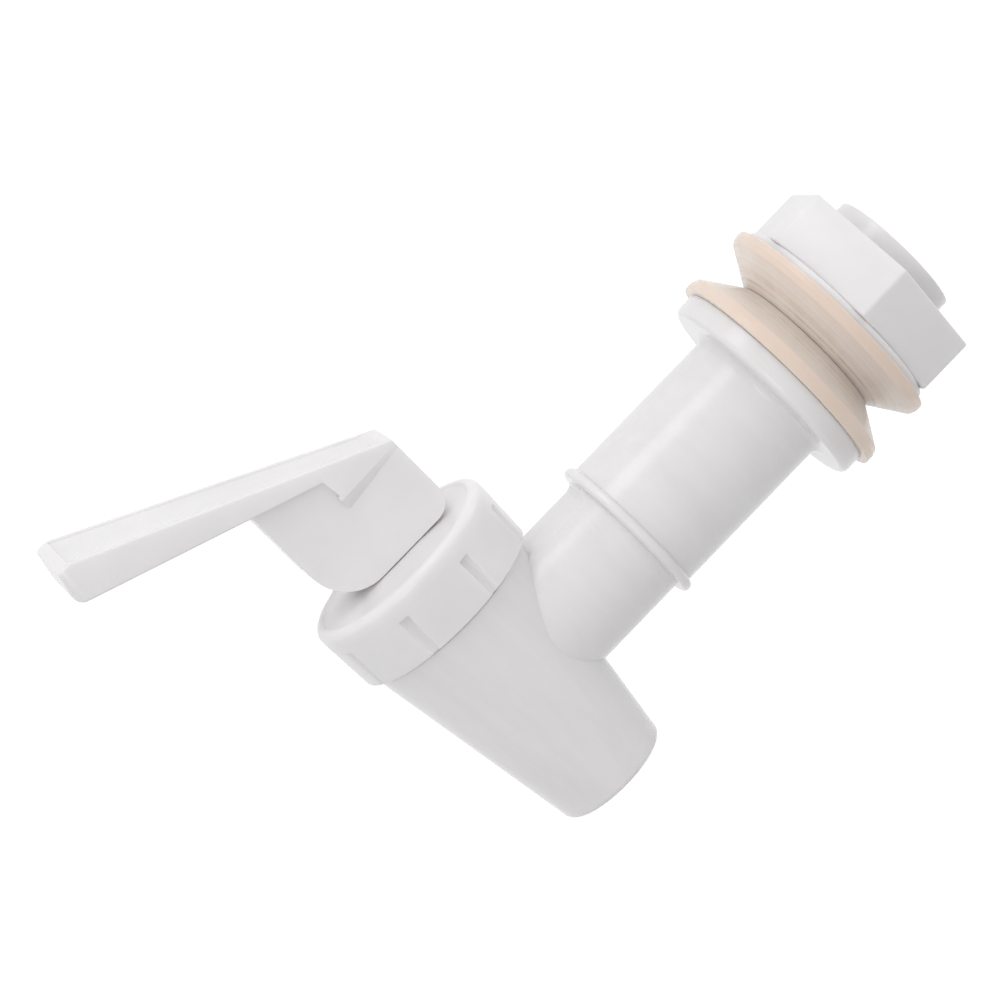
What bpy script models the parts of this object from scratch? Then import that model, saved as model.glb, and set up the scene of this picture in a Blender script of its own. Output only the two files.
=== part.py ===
# Lever spigot of a drinks dispenser, upright in its own frame, in metres with +Z up.
# +Y runs back along the shank into the tank, -Y is the front, with the spout and the lever.
# The origin is on the shank's axis, on the face of the flange that the front washer seats on.
# Pressing the lever down rocks its cam on the bonnet, which lifts the stem and the seat cup.

import math

import bmesh
import bpy
from mathutils import Matrix, Vector

# Fits between neighbours
GAP = 0.0003
STEM_RUNNING_GAP = 0.0004
SPRING_GAP = 0.0003

# Roundness of turned pieces
STEPS = 48
SMALL_STEPS = 32

# Shank, from the spout back to its inlet end
SPOUT_REACH = 0.0498
NECK_RADIUS = 0.0092
NECK_FLAT_HEIGHT = 0.0078
NECK_FLAT_RUNOUT = 0.0012
BEAD_SETBACK = 0.0268
BEAD_RADIUS = 0.0107
BEAD_WIDTH = 0.0014
SHANK_RADIUS = 0.0099
FLANGE_RADIUS = 0.01465
FLANGE_THICKNESS = 0.0030
FLANGE_ROUNDING = 0.0009
TAIL_LENGTH = 0.02175
THREAD_CORE_RADIUS = 0.0090
TAIL_CHAMFER = 0.0005
INLET_RADIUS = 0.0056

# Spout body
SHOULDER_HEIGHT = 0.0099
SHOULDER_RADIUS = 0.01245
SPOUT_DROP = 0.0209
SPOUT_TIP_RADIUS = 0.0079
SPOUT_TIP_ROUNDING = 0.0010
THROAT_RADIUS = 0.0046
MOUTH_RADIUS = 0.0054
COLLAR_RADIUS = 0.0114
COLLAR_HEIGHT = 0.0040
CHAMBER_RADIUS = 0.0082
CHAMBER_FLOOR_DEPTH = 0.0075
SEAT_LIP_HEIGHT = 0.0007
SEAT_LIP_WIDTH = 0.0009

# Bonnet, screwed on the collar
BONNET_RADIUS = 0.01395
BONNET_HEIGHT = 0.0093
BONNET_DRAFT = 0.0003
BONNET_BAND_HEIGHT = 0.0024
BONNET_BAND_STEP = 0.00012
CREST_ROUNDING = 0.0011
CREST_WIDTH = 0.0009
DISH_DEPTH = 0.0018
BOSS_TOP_RADIUS = 0.0068
BOSS_FOOT_RADIUS = 0.0088
SPRING_POCKET_RADIUS = 0.0047
SPRING_POCKET_DEPTH = 0.0009
GRIP_COUNT = 8
GRIP_WIDTH = 0.0019
GRIP_DEPTH = 0.00045
GRIP_LENGTH = 0.0063

# Seat cup of soft silicone, held at its flange under the bonnet
CUP_FLANGE_THICKNESS = 0.0012
CUP_SLEEVE_RADIUS = 0.0077
CUP_SLEEVE_LENGTH = 0.0014
CUP_BELL_RADIUS = 0.0056
CUP_FOLD_HEIGHT = 0.0024
CUP_WALL = 0.0009
CUP_FOOT_RADIUS = 0.0066
CUP_FOOT_THICKNESS = 0.0028
CUP_SOLE = 0.0008

# Stem with its cross bar, spring plate and button
STEM_RADIUS = 0.0022
CROSS_BAR_RADIUS = 0.0015
CROSS_BAR_HALF_LENGTH = 0.0040
SPRING_PLATE_RADIUS = 0.0044
SPRING_PLATE_THICKNESS = 0.0014
BUTTON_NECK_RADIUS = 0.0020
BUTTON_NECK_LENGTH = 0.0009
BUTTON_RADIUS = 0.0030
BUTTON_THICKNESS = 0.0011

# Return spring
SPRING_WIRE_RADIUS = 0.0004
SPRING_COIL_RADIUS = 0.0033
SPRING_ACTIVE_TURNS = 6.5
SPRING_POINTS_PER_TURN = 14

# Lever, measured from its pivot on the stem's cross bar
PIVOT_ABOVE_BASE = 0.0065
BLOCK_HALF_WIDTH = 0.0053
BLOCK_FRONT = 0.0092
BLOCK_REAR = 0.00975
CAM_LEAD = 0.0029
CAM_RADIUS = 0.0063
HEEL_RADIUS = 0.0029
WEB_FILLET = 0.0013
PADDLE_TIP_HALF_WIDTH = 0.0100
PADDLE_REACH = 0.0313
PADDLE_TIP_LEAN = 0.0007
PADDLE_TIP_TOP = 0.0239
PADDLE_TIP_BOTTOM = 0.0193
PADDLE_REAR_TOP = 0.0049
TIP_LAND_LENGTH = 0.0017
TIP_ROUNDING = 0.0013
EAR_TOP = 0.0074
EAR_LEAN = 0.0004
EAR_STEP_HEIGHT = 0.0042
EAR_FRONT_BOTTOM = 0.00255
EAR_REAR_BOTTOM = 0.0037
RIM_WIDTH = 0.0009
RIM_DROP = 0.0003
DISH_SAG = 0.0009
LEVER_TILT_DEGREES = 37.0
POCKET_GAP = 0.0003
SNAP_ENTRY_WIDTH = 0.0025

# Cone washers and the nut behind the flange
WASHER_RIM_RADIUS = 0.01575
WASHER_RIM_WIDTH = 0.0019
WASHER_THICKNESS = 0.0049
WASHER_WAIST_RADIUS = 0.0105
WASHER_HOLE_RADIUS = 0.0097
WASHER_ROUNDING = 0.0006
NUT_HOLE_RADIUS = 0.0099
NUT_WALL = 0.00355
NUT_HEX_LENGTH = 0.00735
NUT_COLLAR_STEP = 0.00065
NUT_COLLAR_LENGTH = 0.0009
NUT_TURN_DEGREES = 23.3

# Places that follow from the sizes
BONNET_FOOT = SHOULDER_HEIGHT + GAP
CREST_HEIGHT = BONNET_FOOT + BONNET_HEIGHT
COLLAR_TOP = SHOULDER_HEIGHT + COLLAR_HEIGHT
CUP_FLANGE_TOP = COLLAR_TOP + GAP + CUP_FLANGE_THICKNESS
BONNET_CEILING = CUP_FLANGE_TOP + GAP
SPRING_TOP = BONNET_CEILING + SPRING_POCKET_DEPTH - SPRING_GAP
CUP_SOLE_BOTTOM = -CHAMBER_FLOOR_DEPTH + SEAT_LIP_HEIGHT + GAP
CUP_FOOT_TOP = CUP_SOLE_BOTTOM + CUP_FOOT_THICKNESS
PLATE_BOTTOM = CUP_FOOT_TOP + GAP
PLATE_TOP = PLATE_BOTTOM + SPRING_PLATE_THICKNESS
BUTTON_TOP = PLATE_BOTTOM - BUTTON_NECK_LENGTH
BUTTON_BOTTOM = BUTTON_TOP - BUTTON_THICKNESS
LEVER_BASE = CREST_HEIGHT + GAP
PIVOT_HEIGHT = LEVER_BASE + PIVOT_ABOVE_BASE
FRONT_WASHER_SEAT = GAP
REAR_WASHER_SEAT = FRONT_WASHER_SEAT + 2 * WASHER_THICKNESS + GAP
NUT_FRONT = REAR_WASHER_SEAT + GAP
NUT_FLAT_RADIUS = NUT_HOLE_RADIUS + NUT_WALL
NUT_CORNER_RADIUS = NUT_FLAT_RADIUS / math.cos(math.radians(30))
NUT_COLLAR_RADIUS = NUT_FLAT_RADIUS + NUT_COLLAR_STEP
SHANK_AXIS_TURN = (-math.pi / 2, 0, 0)
REVERSED_TURN = (math.pi / 2, 0, 0)


def clear_scene():
    for item in list(bpy.data.objects):
        bpy.data.objects.remove(item, do_unlink=True)


def new_collection(name):
    collection = bpy.data.collections.new(name)
    bpy.context.scene.collection.children.link(collection)
    return collection


def make_material(name, colour, roughness, metallic=0.0, transmission=0.0):
    material = bpy.data.materials.new(name)
    material.use_nodes = True
    shader = material.node_tree.nodes["Principled BSDF"]
    shader.inputs["Base Color"].default_value = (*colour, 1.0)
    shader.inputs["Roughness"].default_value = roughness
    shader.inputs["Metallic"].default_value = metallic
    shader.inputs["Transmission Weight"].default_value = transmission
    return material


def add_object(name, data, collection, material=None, location=(0, 0, 0), rotation=(0, 0, 0)):
    item = bpy.data.objects.new(name, data)
    item.location = location
    item.rotation_euler = rotation
    collection.objects.link(item)
    if material is not None:
        data.materials.append(material)
    return item


def as_cutter(item):
    item.hide_render = True
    item.display_type = "WIRE"
    return item


def arc(centre, radius, start, end, count):
    """Points on an arc, with angles in degrees from the first axis."""
    points = []
    for index in range(count + 1):
        angle = math.radians(start + (end - start) * index / count)
        points.append((centre[0] + radius * math.cos(angle), centre[1] + radius * math.sin(angle)))
    return points


def turned(name, profile, collection, material=None, location=(0, 0, 0), rotation=(0, 0, 0),
           closed=False, steps=STEPS):
    """A turned shape: a profile of radius and height, listed down its outer side."""
    mesh = bpy.data.meshes.new(name)
    points = [(radius, 0.0, height) for radius, height in profile]
    edges = [(index, index + 1) for index in range(len(points) - 1)]
    if closed:
        edges.append((len(points) - 1, 0))
    mesh.from_pydata(points, edges, [])
    item = add_object(name, mesh, collection, material, location, rotation)
    screw = item.modifiers.new("Turn", "SCREW")
    screw.axis = "Z"
    screw.angle = 2 * math.pi
    screw.steps = steps
    screw.render_steps = steps
    screw.use_merge_vertices = True
    screw.merge_threshold = 0.00001
    screw.use_smooth_shade = True
    return item


def flat_plate(name, outline, half_width):
    """A flat outline of (y, z) points given a thickness along X, as a welded mesh."""
    curve = bpy.data.curves.new(name, "CURVE")
    curve.dimensions = "2D"
    curve.fill_mode = "BOTH"
    curve.extrude = half_width
    spline = curve.splines.new("POLY")
    spline.points.add(len(outline) - 1)
    for point, (across, up) in zip(spline.points, outline):
        point.co = (across, up, 0.0, 1.0)
    spline.use_cyclic_u = True
    holder = bpy.data.objects.new(name + "_outline", curve)
    bpy.context.scene.collection.objects.link(holder)
    bpy.context.view_layer.update()
    evaluated = holder.evaluated_get(bpy.context.evaluated_depsgraph_get())
    mesh = bpy.data.meshes.new_from_object(evaluated)
    bpy.data.objects.remove(holder, do_unlink=True)
    upright = Matrix(((0, 0, 1, 0), (1, 0, 0, 0), (0, 1, 0, 0), (0, 0, 0, 1)))
    mesh.transform(upright)
    work = bmesh.new()
    work.from_mesh(mesh)
    bmesh.ops.remove_doubles(work, verts=work.verts, dist=0.000001)
    bmesh.ops.dissolve_limit(work, angle_limit=math.radians(1), verts=work.verts, edges=work.edges)
    bmesh.ops.recalc_face_normals(work, faces=work.faces)
    work.to_mesh(mesh)
    work.free()
    return mesh


def box_mesh(name, low, high):
    mesh = bpy.data.meshes.new(name)
    work = bmesh.new()
    bmesh.ops.create_cube(work, size=1.0)
    low, high = Vector(low), Vector(high)
    middle = (low + high) / 2
    for corner in work.verts:
        corner.co = middle + Vector(a * b for a, b in zip(corner.co, high - low))
    work.to_mesh(mesh)
    work.free()
    return mesh


def bar_mesh(name, radius, half_length, segments=20):
    """A round bar along X."""
    mesh = bpy.data.meshes.new(name)
    work = bmesh.new()
    bmesh.ops.create_cone(work, cap_ends=True, segments=segments, radius1=radius, radius2=radius,
                          depth=2 * half_length, matrix=Matrix.Rotation(math.pi / 2, 4, "Y"))
    work.to_mesh(mesh)
    work.free()
    return mesh


def combine(item, other, operation):
    boolean = item.modifiers.new(other.name, "BOOLEAN")
    boolean.operation = operation
    boolean.solver = "EXACT"
    boolean.object = other
    as_cutter(other)


def round_edges(item, width, segments=2, by_weight=False):
    bevel = item.modifiers.new("Rounded edges", "BEVEL")
    bevel.width = width
    bevel.segments = segments
    bevel.limit_method = "WEIGHT" if by_weight else "ANGLE"
    bevel.angle_limit = math.radians(35)


def spout_radius(height):
    """Outside radius of the tapered spout body at a height."""
    share = (SHOULDER_HEIGHT - height) / (SHOULDER_HEIGHT + SPOUT_DROP)
    return SHOULDER_RADIUS + (SPOUT_TIP_RADIUS - SHOULDER_RADIUS) * share


def make_spout(parts, material):
    tip = -SPOUT_DROP
    profile = [(0.0, COLLAR_TOP), (COLLAR_RADIUS, COLLAR_TOP), (COLLAR_RADIUS, SHOULDER_HEIGHT),
               (SHOULDER_RADIUS, SHOULDER_HEIGHT)]
    centre = (spout_radius(tip + SPOUT_TIP_ROUNDING) - SPOUT_TIP_ROUNDING, tip + SPOUT_TIP_ROUNDING)
    profile += arc(centre, SPOUT_TIP_ROUNDING, 0, -90, 4)
    profile.append((0.0, tip))
    return turned("spigot_body", profile, parts, material, location=(0, -SPOUT_REACH, 0))


def make_shank(cutters):
    """The shank runs along the object's own Z, from inside the spout to its inlet end."""
    bead_back = -BEAD_SETBACK + BEAD_WIDTH / 2
    bead_front = -BEAD_SETBACK - BEAD_WIDTH / 2
    bead_round = min(BEAD_WIDTH / 2, BEAD_RADIUS - SHANK_RADIUS) * 0.8
    flange_front = -FLANGE_THICKNESS
    edge = FLANGE_RADIUS - FLANGE_ROUNDING
    profile = [(0.0, TAIL_LENGTH), (THREAD_CORE_RADIUS - TAIL_CHAMFER, TAIL_LENGTH),
               (THREAD_CORE_RADIUS, TAIL_LENGTH - TAIL_CHAMFER), (THREAD_CORE_RADIUS, 0.0),
               (FLANGE_RADIUS - FLANGE_ROUNDING / 3, 0.0), (FLANGE_RADIUS, -FLANGE_ROUNDING / 3)]
    profile += arc((edge, flange_front + FLANGE_ROUNDING), FLANGE_ROUNDING, 0, -90, 3)
    profile += [(SHANK_RADIUS, flange_front), (SHANK_RADIUS, bead_back),
                (BEAD_RADIUS - bead_round, bead_back), (BEAD_RADIUS, bead_back - bead_round),
                (BEAD_RADIUS, bead_front + bead_round), (BEAD_RADIUS - bead_round, bead_front),
                (NECK_RADIUS, bead_front), (NECK_RADIUS, -SPOUT_REACH), (0.0, -SPOUT_REACH)]
    return turned("shank", profile, cutters, rotation=SHANK_AXIS_TURN)


def cut_neck_flat(shank, cutters):
    """The flat on top of the neck runs out in a small round just before the bead."""
    front = -SPOUT_REACH - GAP
    back = -BEAD_SETBACK - BEAD_WIDTH / 2 - GAP
    top = BEAD_RADIUS * 1.2
    outline = [(front, top), (front, NECK_FLAT_HEIGHT)]
    outline += arc((back - NECK_FLAT_RUNOUT, NECK_FLAT_HEIGHT + NECK_FLAT_RUNOUT), NECK_FLAT_RUNOUT, -90, 0, 4)
    outline.append((back, top))
    mesh = flat_plate("neck_flat", outline, BEAD_RADIUS)
    combine(shank, add_object("neck_flat", mesh, cutters), "DIFFERENCE")


def make_body(parts, cutters, material):
    body = make_spout(parts, material)
    shank = make_shank(cutters)
    cut_neck_flat(shank, cutters)
    combine(body, shank, "UNION")
    floor = -CHAMBER_FLOOR_DEPTH
    lip_top = floor + SEAT_LIP_HEIGHT
    lip_outer = THROAT_RADIUS + SEAT_LIP_WIDTH
    above = COLLAR_TOP + CHAMBER_RADIUS
    below = -SPOUT_DROP - SPOUT_TIP_ROUNDING
    chamber = [(0.0, above), (CHAMBER_RADIUS, above), (CHAMBER_RADIUS, floor), (lip_outer, floor),
               (lip_outer, lip_top), (THROAT_RADIUS, lip_top), (MOUTH_RADIUS, below), (0.0, below)]
    place = (0, -SPOUT_REACH, 0)
    combine(body, turned("chamber", chamber, cutters, location=place, steps=SMALL_STEPS), "DIFFERENCE")
    outside = TAIL_LENGTH + INLET_RADIUS
    inlet = [(0.0, outside), (INLET_RADIUS, outside), (INLET_RADIUS, -SPOUT_REACH), (0.0, -SPOUT_REACH)]
    combine(body, turned("inlet", inlet, cutters, rotation=SHANK_AXIS_TURN, steps=SMALL_STEPS), "DIFFERENCE")


def make_bonnet(parts, cutters, material):
    hole = STEM_RADIUS + STEM_RUNNING_GAP
    thread_hole = COLLAR_RADIUS + GAP
    skirt = BONNET_RADIUS - BONNET_BAND_STEP
    band_foot = CREST_HEIGHT - BONNET_BAND_HEIGHT
    crest_outer = BONNET_RADIUS - CREST_ROUNDING
    pocket_top = BONNET_CEILING + SPRING_POCKET_DEPTH
    profile = [(hole, CREST_HEIGHT), (BOSS_TOP_RADIUS, CREST_HEIGHT),
               (BOSS_FOOT_RADIUS, CREST_HEIGHT - DISH_DEPTH),
               (crest_outer - CREST_WIDTH, CREST_HEIGHT - GAP), (crest_outer - CREST_WIDTH / 2, CREST_HEIGHT)]
    profile += arc((crest_outer, CREST_HEIGHT - CREST_ROUNDING), CREST_ROUNDING, 90, 0, 5)
    profile += [(BONNET_RADIUS, band_foot), (skirt, band_foot - BONNET_BAND_STEP),
                (skirt - BONNET_DRAFT, BONNET_FOOT), (thread_hole, BONNET_FOOT),
                (thread_hole, BONNET_CEILING), (SPRING_POCKET_RADIUS, BONNET_CEILING),
                (SPRING_POCKET_RADIUS, pocket_top), (hole, pocket_top)]
    place = (0, -SPOUT_REACH, 0)
    bonnet = turned("bonnet", profile, parts, material, location=place, closed=True)
    mesh = bpy.data.meshes.new("grip_grooves")
    work = bmesh.new()
    for index in range(GRIP_COUNT):
        angle = 2 * math.pi * (index + 0.5) / GRIP_COUNT
        turn = Matrix.Rotation(angle, 4, "Z")
        inner = BONNET_RADIUS - BONNET_BAND_STEP - BONNET_DRAFT / 2 - GRIP_DEPTH
        middle = Matrix.Translation((inner + GRIP_WIDTH / 2, 0, BONNET_FOOT + (GRIP_LENGTH - GRIP_WIDTH) / 2))
        size = Matrix.Diagonal((GRIP_WIDTH, GRIP_WIDTH, GRIP_LENGTH + GRIP_WIDTH, 1.0))
        bmesh.ops.create_cube(work, size=1.0, matrix=turn @ middle @ size)
    work.to_mesh(mesh)
    work.free()
    combine(bonnet, add_object("grip_grooves", mesh, cutters, location=place), "DIFFERENCE")


def make_seat_cup(parts, material):
    flange_radius = COLLAR_RADIUS - GAP
    flange_bottom = CUP_FLANGE_TOP - CUP_FLANGE_THICKNESS
    sleeve_bottom = flange_bottom - CUP_SLEEVE_LENGTH
    bell_top = sleeve_bottom - CUP_FOLD_HEIGHT
    cavity_bottom = BUTTON_BOTTOM - GAP
    cavity_top = BUTTON_TOP + GAP
    inner = [(0.0, cavity_bottom), (BUTTON_RADIUS + GAP, cavity_bottom), (BUTTON_RADIUS + GAP, cavity_top),
             (BUTTON_NECK_RADIUS + GAP, cavity_top), (BUTTON_NECK_RADIUS + GAP, CUP_FOOT_TOP),
             (CUP_BELL_RADIUS - CUP_WALL, CUP_FOOT_TOP), (CUP_BELL_RADIUS - CUP_WALL, bell_top),
             (CUP_SLEEVE_RADIUS - CUP_WALL, sleeve_bottom), (CUP_SLEEVE_RADIUS - CUP_WALL, CUP_FLANGE_TOP)]
    outer = [(flange_radius, CUP_FLANGE_TOP), (flange_radius, flange_bottom),
             (CUP_SLEEVE_RADIUS, flange_bottom), (CUP_SLEEVE_RADIUS, sleeve_bottom),
             (CUP_BELL_RADIUS, bell_top - CUP_WALL), (CUP_BELL_RADIUS, CUP_FOOT_TOP + CUP_WALL),
             (CUP_FOOT_RADIUS, CUP_FOOT_TOP), (CUP_FOOT_RADIUS, CUP_SOLE_BOTTOM + CUP_SOLE / 2),
             (CUP_FOOT_RADIUS - CUP_SOLE / 2, CUP_SOLE_BOTTOM), (0.0, CUP_SOLE_BOTTOM)]
    turned("seat_cup", inner + outer, parts, material, location=(0, -SPOUT_REACH, 0), steps=SMALL_STEPS)


def make_stem(parts, cutters, material):
    place = Vector((0, -SPOUT_REACH, PIVOT_HEIGHT))
    profile = [(radius, PIVOT_HEIGHT + height) for radius, height in arc((0, 0), STEM_RADIUS, 90, 0, 6)]
    profile += [(STEM_RADIUS, PLATE_TOP), (SPRING_PLATE_RADIUS, PLATE_TOP),
                (SPRING_PLATE_RADIUS, PLATE_BOTTOM), (BUTTON_NECK_RADIUS, PLATE_BOTTOM),
                (BUTTON_NECK_RADIUS, BUTTON_TOP), (BUTTON_RADIUS, BUTTON_TOP),
                (BUTTON_RADIUS, BUTTON_BOTTOM), (0.0, BUTTON_BOTTOM)]
    lowered = [(max(radius, 0.0), height - PIVOT_HEIGHT) for radius, height in profile]
    lowered[0] = (0.0, lowered[0][1])
    stem = turned("stem", lowered, parts, material, location=place, steps=SMALL_STEPS)
    bar = bar_mesh("cross_bar", CROSS_BAR_RADIUS, CROSS_BAR_HALF_LENGTH)
    combine(stem, add_object("cross_bar", bar, cutters, location=place), "UNION")


def make_spring(parts, material):
    """A coil with one closed turn at each end, between the stem's plate and the bonnet."""
    bottom = PLATE_TOP + SPRING_GAP + SPRING_WIRE_RADIUS
    top = SPRING_TOP - SPRING_WIRE_RADIUS
    end_rise = 2.3 * SPRING_WIRE_RADIUS
    turns = SPRING_ACTIVE_TURNS + 2
    pitch = (top - bottom - 2 * end_rise) / SPRING_ACTIVE_TURNS
    count = int(turns * SPRING_POINTS_PER_TURN)
    curve = bpy.data.curves.new("return_spring", "CURVE")
    curve.dimensions = "3D"
    curve.bevel_depth = SPRING_WIRE_RADIUS
    curve.bevel_resolution = 2
    curve.use_fill_caps = True
    spline = curve.splines.new("POLY")
    spline.points.add(count)
    for index, point in enumerate(spline.points):
        turn = turns * index / count
        active = min(max(turn - 1, 0), SPRING_ACTIVE_TURNS)
        ends = min(turn, 1) + max(turn - 1 - SPRING_ACTIVE_TURNS, 0)
        angle = 2 * math.pi * turn
        height = bottom + ends * end_rise + active * pitch
        point.co = (SPRING_COIL_RADIUS * math.cos(angle), SPRING_COIL_RADIUS * math.sin(angle), height, 1.0)
    add_object("return_spring", curve, parts, material, location=(0, -SPOUT_REACH, 0))


def paddle_half_width(along):
    """Half the paddle's width at a distance behind the pivot."""
    share = (BLOCK_REAR - along) / (BLOCK_REAR + PADDLE_REACH)
    return BLOCK_HALF_WIDTH + (PADDLE_TIP_HALF_WIDTH - BLOCK_HALF_WIDTH) * share


def paddle_land_rear():
    return -PADDLE_REACH + PADDLE_TIP_LEAN + TIP_LAND_LENGTH


def paddle_top(along):
    """Height of the paddle's upper edge over the pivot."""
    share = (BLOCK_REAR - along) / (BLOCK_REAR - paddle_land_rear())
    return PADDLE_REAR_TOP + (PADDLE_TIP_TOP - PADDLE_REAR_TOP) * share


def block_outline():
    """Side view of the lever's block: cam in front, heel behind, fillet under the paddle."""
    base = -PIVOT_ABOVE_BASE
    underside_slope = (PADDLE_TIP_BOTTOM - EAR_TOP) / PADDLE_REACH
    lean = math.atan(underside_slope)
    under = EAR_TOP + underside_slope * BLOCK_FRONT
    fillet_height = under + WEB_FILLET * (underside_slope - 1 / math.cos(lean))
    fillet = arc((-BLOCK_FRONT - WEB_FILLET, fillet_height), WEB_FILLET, 90 - math.degrees(lean), 0, 4)
    inside = fillet[0][1] + WEB_FILLET
    cam = arc((-CAM_LEAD, base + CAM_RADIUS), CAM_RADIUS, 180, 270, 12)
    heel = arc((BLOCK_REAR - HEEL_RADIUS, base + HEEL_RADIUS), HEEL_RADIUS, 270, 360, 6)
    top = [(BLOCK_REAR, EAR_STEP_HEIGHT), (0.0, EAR_TOP + 2 * GAP)]
    return [(fillet[0][0], inside)] + fillet + cam + heel + top


def make_paddle(cutters):
    """The paddle's side view, widened from the block to the tip, with the tip's corners rounded."""
    tip_top = -PADDLE_REACH + PADDLE_TIP_LEAN
    outline = [(tip_top, PADDLE_TIP_TOP), (-PADDLE_REACH, PADDLE_TIP_BOTTOM), (0.0, EAR_TOP),
               (EAR_LEAN, EAR_STEP_HEIGHT), (BLOCK_REAR, EAR_STEP_HEIGHT), (BLOCK_REAR, PADDLE_REAR_TOP),
               (paddle_land_rear(), PADDLE_TIP_TOP)]
    mesh = flat_plate("paddle", outline, 1.0)
    for corner in mesh.vertices:
        corner.co.x = math.copysign(paddle_half_width(corner.co.y), corner.co.x)
    weights = mesh.attributes.new("bevel_weight_edge", "FLOAT", "EDGE")
    for edge in mesh.edges:
        ends = [mesh.vertices[index].co for index in edge.vertices]
        at_tip = all(end.y < tip_top + GAP for end in ends)
        along_side = ends[0].x * ends[1].x > 0
        weights.data[edge.index].value = 1.0 if at_tip and along_side else (0.3 if along_side or at_tip else 0.0)
    paddle = add_object("paddle", mesh, cutters)
    round_edges(paddle, TIP_ROUNDING, segments=3, by_weight=True)
    return paddle


def make_ear_wedge(cutters):
    """Sloped underside of the paddle's ears, from their proud faces in to the block."""
    low, high = (-1, 0, 0), (1, 1, 1)
    mesh = box_mesh("ear_wedge", low, high)
    for corner in mesh.vertices:
        rear, top = corner.co.y > 0.5, corner.co.z > 0.5
        along = BLOCK_REAR - GAP / 3 if rear else EAR_LEAN
        width = paddle_half_width(along) if top else BLOCK_HALF_WIDTH + GAP / 3
        height = EAR_STEP_HEIGHT + GAP / 3 if top else (EAR_REAR_BOTTOM if rear else EAR_FRONT_BOTTOM)
        corner.co = (math.copysign(width, corner.co.x), along, height)
    return add_object("ear_wedge", mesh, cutters)


def make_thumb_dish(cutters):
    """A shallow trough sunk in the paddle's top, inside its rim, wider towards the tip."""
    front, rear = paddle_land_rear(), BLOCK_REAR - RIM_WIDTH
    across = 10
    work = bmesh.new()
    sections = []
    for along in (front, rear):
        inner = paddle_half_width(along) - RIM_WIDTH
        floor = paddle_top(along) - RIM_DROP
        section = []
        for index in range(across + 1):
            side = 2 * index / across - 1
            section.append(work.verts.new((side * inner, along, floor - DISH_SAG * (1 - side * side))))
        section.append(work.verts.new((inner, along, floor + DISH_SAG)))
        section.append(work.verts.new((-inner, along, floor + DISH_SAG)))
        sections.append(section)
    count = len(sections[0])
    for index in range(count):
        after = (index + 1) % count
        work.faces.new((sections[0][index], sections[0][after], sections[1][after], sections[1][index]))
    work.faces.new(sections[0])
    work.faces.new(list(reversed(sections[1])))
    bmesh.ops.recalc_face_normals(work, faces=work.faces)
    mesh = bpy.data.meshes.new("thumb_dish")
    work.to_mesh(mesh)
    work.free()
    return add_object("thumb_dish", mesh, cutters)


def make_stem_slot(cutters):
    """Room for the stem between the two cam cheeks, through the lever's whole tilt."""
    tilt = math.radians(LEVER_TILT_DEGREES)
    room = STEM_RADIUS + GAP
    top = STEM_RADIUS + 2 * GAP
    below = -PIVOT_ABOVE_BASE - CAM_RADIUS / 3
    start_y, start_z = -room * math.cos(tilt), room * math.sin(tilt)
    reach = (start_z - below) / math.cos(tilt)
    outline = [(room, top), (-room, top), (start_y, start_z), (start_y - reach * math.sin(tilt), below),
               (room, below)]
    return add_object("stem_slot", flat_plate("stem_slot", outline, room), cutters)


def make_lever(parts, cutters, material):
    place = Vector((0, -SPOUT_REACH, PIVOT_HEIGHT))
    lever = add_object("lever", flat_plate("lever", block_outline(), BLOCK_HALF_WIDTH), parts, material)
    round_edges(lever, 0.0004)
    combine(lever, make_paddle(cutters), "UNION")
    combine(lever, make_ear_wedge(cutters), "UNION")
    combine(lever, make_thumb_dish(cutters), "DIFFERENCE")
    combine(lever, make_stem_slot(cutters), "DIFFERENCE")
    pocket_half_length = CROSS_BAR_HALF_LENGTH + POCKET_GAP
    pocket = bar_mesh("bar_pocket", CROSS_BAR_RADIUS + POCKET_GAP, pocket_half_length)
    combine(lever, add_object("bar_pocket", pocket, cutters), "DIFFERENCE")
    entry_low = (-pocket_half_length, -SNAP_ENTRY_WIDTH / 2, -PIVOT_ABOVE_BASE - CAM_RADIUS / 3)
    entry = box_mesh("snap_entry", entry_low, (pocket_half_length, SNAP_ENTRY_WIDTH / 2, 0.0))
    combine(lever, add_object("snap_entry", entry, cutters), "DIFFERENCE")
    for item in [lever] + [modifier.object for modifier in lever.modifiers if modifier.type == "BOOLEAN"]:
        item.location = place


def washer_profile():
    """A cone washer: flat seat at height 0, thick rounded rim, small end at its full thickness."""
    rim, rounding = WASHER_RIM_RADIUS, WASHER_ROUNDING
    profile = [(WASHER_HOLE_RADIUS, WASHER_THICKNESS), (WASHER_WAIST_RADIUS, WASHER_THICKNESS)]
    profile += arc((rim - rounding, WASHER_RIM_WIDTH - rounding), rounding, 60, 0, 3)
    profile += arc((rim - rounding, rounding), rounding, 0, -90, 3)
    profile.append((WASHER_HOLE_RADIUS, 0.0))
    return profile


def make_washers(parts, material):
    front = turned("front_washer", washer_profile(), parts, material, location=(0, FRONT_WASHER_SEAT, 0),
                   rotation=SHANK_AXIS_TURN, closed=True)
    front.data.name = "cone_washer"
    turned("rear_washer", washer_profile(), parts, material, location=(0, REAR_WASHER_SEAT, 0),
           rotation=REVERSED_TURN, closed=True)


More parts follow.
